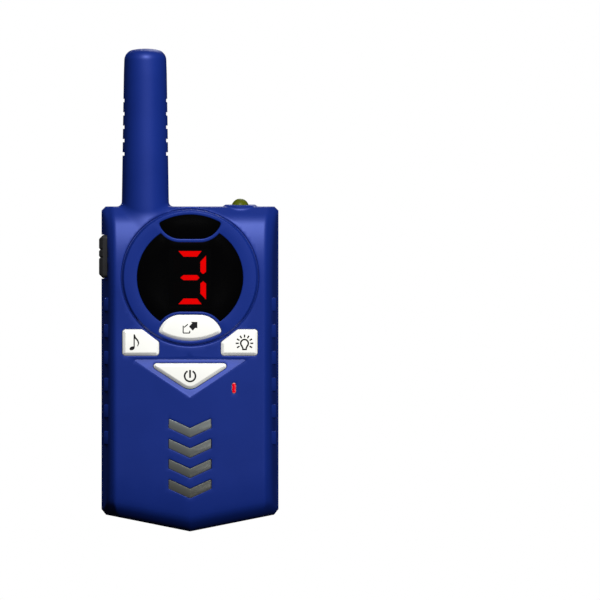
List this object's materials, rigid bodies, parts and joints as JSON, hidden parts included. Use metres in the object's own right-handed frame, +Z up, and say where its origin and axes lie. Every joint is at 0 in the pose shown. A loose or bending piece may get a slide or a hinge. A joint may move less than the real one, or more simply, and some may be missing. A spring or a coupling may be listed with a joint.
{
  "type": "toy walkie talkie",
  "caption": "Hand-held toy radio: slim case with a V shaped foot, stub antenna, round digit display, press keys, talk button, torch, speaker slots, hinged cell cover and belt clip.",
  "frame": {"origin": "centre of the bounding box in plan, at the tip of the V shaped foot", "axes": "+Z up along the antenna, the front with the display faces -Y, +X to the right seen from the front"},
  "size_m": [0.0609, 0.036, 0.1637],
  "materials": {
    "case_blue": "satin moulded blue plastic",
    "key_white": "glossy off-white plastic with printed symbols",
    "smoked": "polished smoked plastic",
    "ptt_rubber": "dark grey soft rubber",
    "red_light": "clear red plastic",
    "lit_red": "lit red segment",
    "dark_segment": "unlit segment",
    "torch_yellow": "clear yellow plastic",
    "grille_grey": "satin grey plastic",
    "steel": "plated steel",
    "spring_steel": "spring wire",
    "black_plastic": "black plastic",
    "white_plastic": "white plastic",
    "silicone": "grey silicone rubber",
    "board": "green solder mask",
    "clear_led": "clear epoxy",
    "cone_paper": "pressed paper",
    "foam": "closed cell foam",
    "copper": "enamelled copper wire",
    "cell_wrap": "cell jacket, plain",
    "wire_red": "wire insulation",
    "wire_black": "wire insulation",
    "wire_yellow": "wire insulation",
    "wire_white": "wire insulation",
    "cap_sleeve": "capacitor sleeve"
  },
  "bodies": {
    "root": {"front_shell": "case_blue", "rear_shell": "case_blue", "clip_pin": "steel", "clip_spring": "spring_steel", "shell_screws": "steel", "display_bezel": "case_blue", "display_window": "smoked", "top_window": "smoked", "display_module": "black_plastic", "lit_segments": "lit_red", "unlit_segments": "dark_segment", "keypad_membrane": "silicone", "main_pcb": "board", "pcb_screws": "steel", "ptt_switch": "black_plastic", "indicator_light": "red_light", "indicator_led": "white_plastic", "torch_lens": "torch_yellow", "torch_led": "clear_led", "speaker_grille": "grille_grey", "speaker_frame": "steel", "speaker_cone": "cone_paper", "speaker_magnet": "steel", "microphone": "steel", "mic_boot": "wire_black", "antenna_coil": "copper", "antenna_former": "white_plastic", "battery_1": "cell_wrap", "battery_2": "cell_wrap", "battery_3": "cell_wrap", "battery_springs": "spring_steel", "battery_contacts": "steel", "radio_module": "steel", "control_chip": "black_plastic", "crystal": "steel", "capacitors": "cap_sleeve", "battery_wires": "wire_red", "speaker_wires": "wire_black", "torch_wires": "wire_yellow", "antenna_wire": "wire_white"},
    "call_key": {"call_button": "key_white"},
    "music_key": {"music_button": "key_white"},
    "light_key": {"light_button": "key_white"},
    "power_key": {"power_button": "key_white"},
    "ptt": {"ptt_button": "ptt_rubber"},
    "cover": {"battery_cover": "case_blue", "cover_screw": "steel", "cover_foam": "foam"},
    "clip": {"belt_clip": "case_blue"}
  },
  "joints": [
    {"name": "call_press", "type": "slide", "parent": "root", "child": "call_key", "axis": [0, 1, 0], "range_m": [0, 0.0007], "stiffness_N_per_m": 600, "springref_m": -0.0005},
    {"name": "music_press", "type": "slide", "parent": "root", "child": "music_key", "axis": [0, 1, 0], "range_m": [0, 0.0007], "stiffness_N_per_m": 600, "springref_m": -0.0005},
    {"name": "light_press", "type": "slide", "parent": "root", "child": "light_key", "axis": [0, 1, 0], "range_m": [0, 0.0007], "stiffness_N_per_m": 600, "springref_m": -0.0005},
    {"name": "power_press", "type": "slide", "parent": "root", "child": "power_key", "axis": [0, 1, 0], "range_m": [0, 0.0007], "stiffness_N_per_m": 600, "springref_m": -0.0005},
    {"name": "ptt_press", "type": "slide", "parent": "root", "child": "ptt", "axis": [1, 0, 0], "range_m": [0, 0.0008], "stiffness_N_per_m": 900, "springref_m": -0.0005},
    {"name": "cover_hinge", "type": "hinge", "parent": "root", "child": "cover", "pos_m": [0, 0.009, 0.0088], "axis": [-1, 0, 0], "range_deg": [0, 75]},
    {"name": "clip_hinge", "type": "hinge", "parent": "root", "child": "clip", "pos_m": [0, 0.0136, 0.101], "axis": [1, 0, 0], "range_deg": [0, 18], "stiffness_Nm_per_rad": 0.05, "springref_deg": -17.19, "deforming": ["clip_spring"]}
  ]
}
